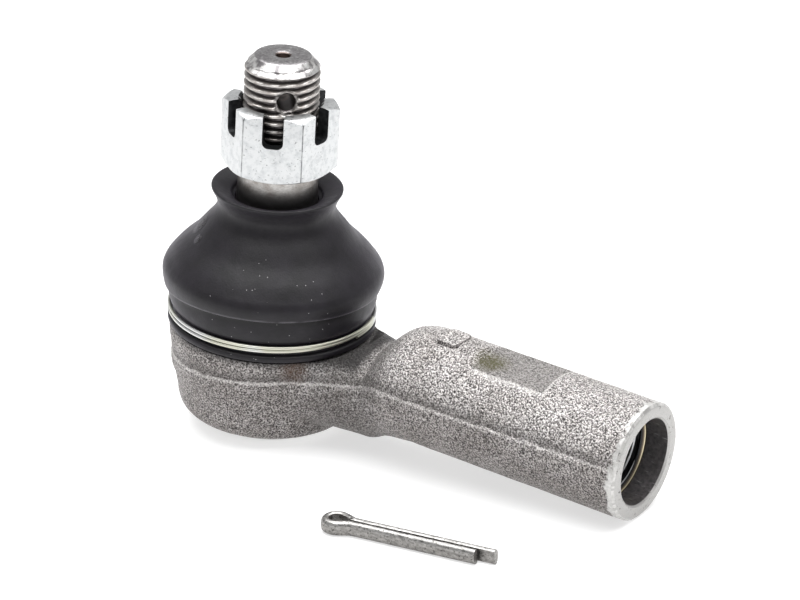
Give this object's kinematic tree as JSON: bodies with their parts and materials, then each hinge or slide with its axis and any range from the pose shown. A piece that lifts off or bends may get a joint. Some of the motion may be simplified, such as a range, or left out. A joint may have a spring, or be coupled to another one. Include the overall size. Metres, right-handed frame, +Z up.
{
  "type": "tie rod end",
  "caption": "Outer tie rod end: forged housing with a sprung ball stud, rubber dust boot, slotted nut and cotter pin, and a threaded shank bore for the tie rod.",
  "frame": {"origin": "centre of the ball, where the stud's axis meets the shank's axis", "axes": "+Z up the stud's axis towards its threaded end, +X along the shank towards its open end"},
  "size_m": [0.1024, 0.0565, 0.0722],
  "materials": {
    "forging": "shot-blasted forged steel, matte, fine speckle",
    "stud_steel": "machined and ground steel, satin",
    "seat_resin": "moulded acetal, greased",
    "spring_steel": "dark tempered wire",
    "cover_steel": "pressed steel, lightly oiled",
    "boot_rubber": "satin black moulded rubber",
    "ring_zinc": "bright zinc, faint yellow",
    "nut_zinc": "bright zinc plate",
    "pin_steel": "dull drawn steel wire"
  },
  "bodies": {
    "housing": {"housing": "forging", "upper_ball_seat": "seat_resin", "end_cover": "cover_steel", "dust_boot": "boot_rubber", "boot_retaining_ring": "ring_zinc"},
    "seat": {"lower_ball_seat": "seat_resin", "seat_spring": "spring_steel"},
    "boot_lip": {"boot_lip_ring": "spring_steel"},
    "stud": {"ball_stud": "stud_steel"},
    "nut": {"castle_nut": "nut_zinc"},
    "loose_pin": {"cotter_pin": "pin_steel"}
  },
  "joints": [
    {"name": "swing_direction", "type": "hinge", "parent": "housing", "child": "seat", "pos_m": [0, 0, 0], "axis": [0, 0, 1], "continuous": true},
    {"name": "stud_tilt", "type": "hinge", "parent": "seat", "child": "boot_lip", "pos_m": [0, 0, 0], "axis": [0, 1, 0], "range_deg": [-20, 20], "deforming": ["dust_boot"]},
    {"name": "stud_spin", "type": "hinge", "parent": "boot_lip", "child": "stud", "pos_m": [0, 0, 0], "axis": [0, 0, 1], "continuous": true},
    {"name": "nut_unscrew", "type": "slide", "parent": "stud", "child": "nut", "axis": [0, 0, 1], "range_m": [0, 0.024]},
    {"name": "pin_lift", "type": "slide", "parent": "housing", "child": "loose_pin", "axis": [-0.0896, 0, 0.996], "range_m": [0, 0.08]}
  ]
}
